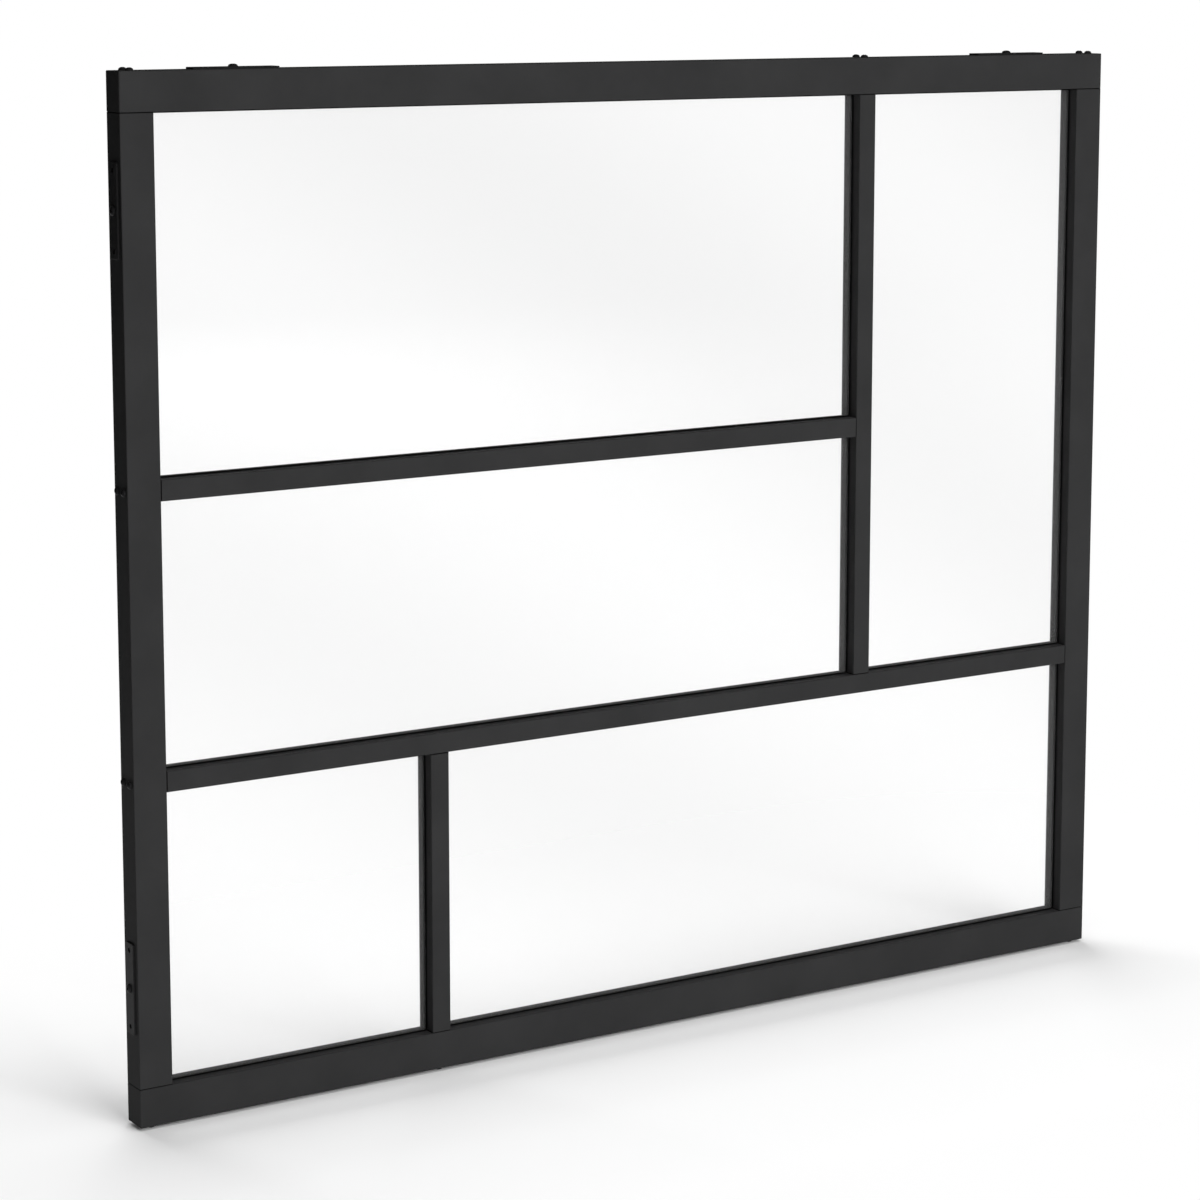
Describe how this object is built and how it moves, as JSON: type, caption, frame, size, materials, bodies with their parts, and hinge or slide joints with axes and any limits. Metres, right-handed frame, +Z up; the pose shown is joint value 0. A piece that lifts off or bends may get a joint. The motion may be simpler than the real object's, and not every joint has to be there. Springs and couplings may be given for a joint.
{
  "type": "fixed glass partition panel",
  "caption": "Fixed interior partition panel: black metal frame with an asymmetric grid of clear glass panes, gaskets and fixing straps on its top and sides.",
  "frame": {"origin": "middle of the underside of the bottom rail, on the flat face that the panel stands on", "axes": "+X along the panel to the right as seen from the front, +Y from the front to the back through the thickness, +Z up"},
  "size_m": [1.204, 0.03, 1.032],
  "materials": {
    "frame_coat": "satin black powder coat",
    "cap_coat": "satin black powder coat",
    "glass": "clear toughened glass",
    "gasket_rubber": "matt black rubber",
    "strap_steel": "blackened steel",
    "screw_steel": "blackened steel"
  },
  "bodies": {
    "root": {"top_rail": "frame_coat", "bottom_rail": "frame_coat", "left_stile": "frame_coat", "right_stile": "frame_coat", "main_bar": "frame_coat", "upper_bar": "frame_coat", "upper_mullion": "frame_coat", "lower_mullion": "frame_coat", "top_rail_left_cap": "cap_coat", "top_rail_right_cap": "cap_coat", "bottom_rail_left_cap": "cap_coat", "bottom_rail_right_cap": "cap_coat", "top_left_pane": "glass", "middle_left_pane": "glass", "right_pane": "glass", "bottom_left_pane": "glass", "bottom_right_pane": "glass", "top_left_gasket": "gasket_rubber", "middle_left_gasket": "gasket_rubber", "right_gasket": "gasket_rubber", "bottom_left_gasket": "gasket_rubber", "bottom_right_gasket": "gasket_rubber", "top_left_strap": "strap_steel", "top_right_strap": "strap_steel", "left_upper_strap": "strap_steel", "left_lower_strap": "strap_steel", "right_upper_strap": "strap_steel", "right_lower_strap": "strap_steel"}
  },
  "joints": []
}
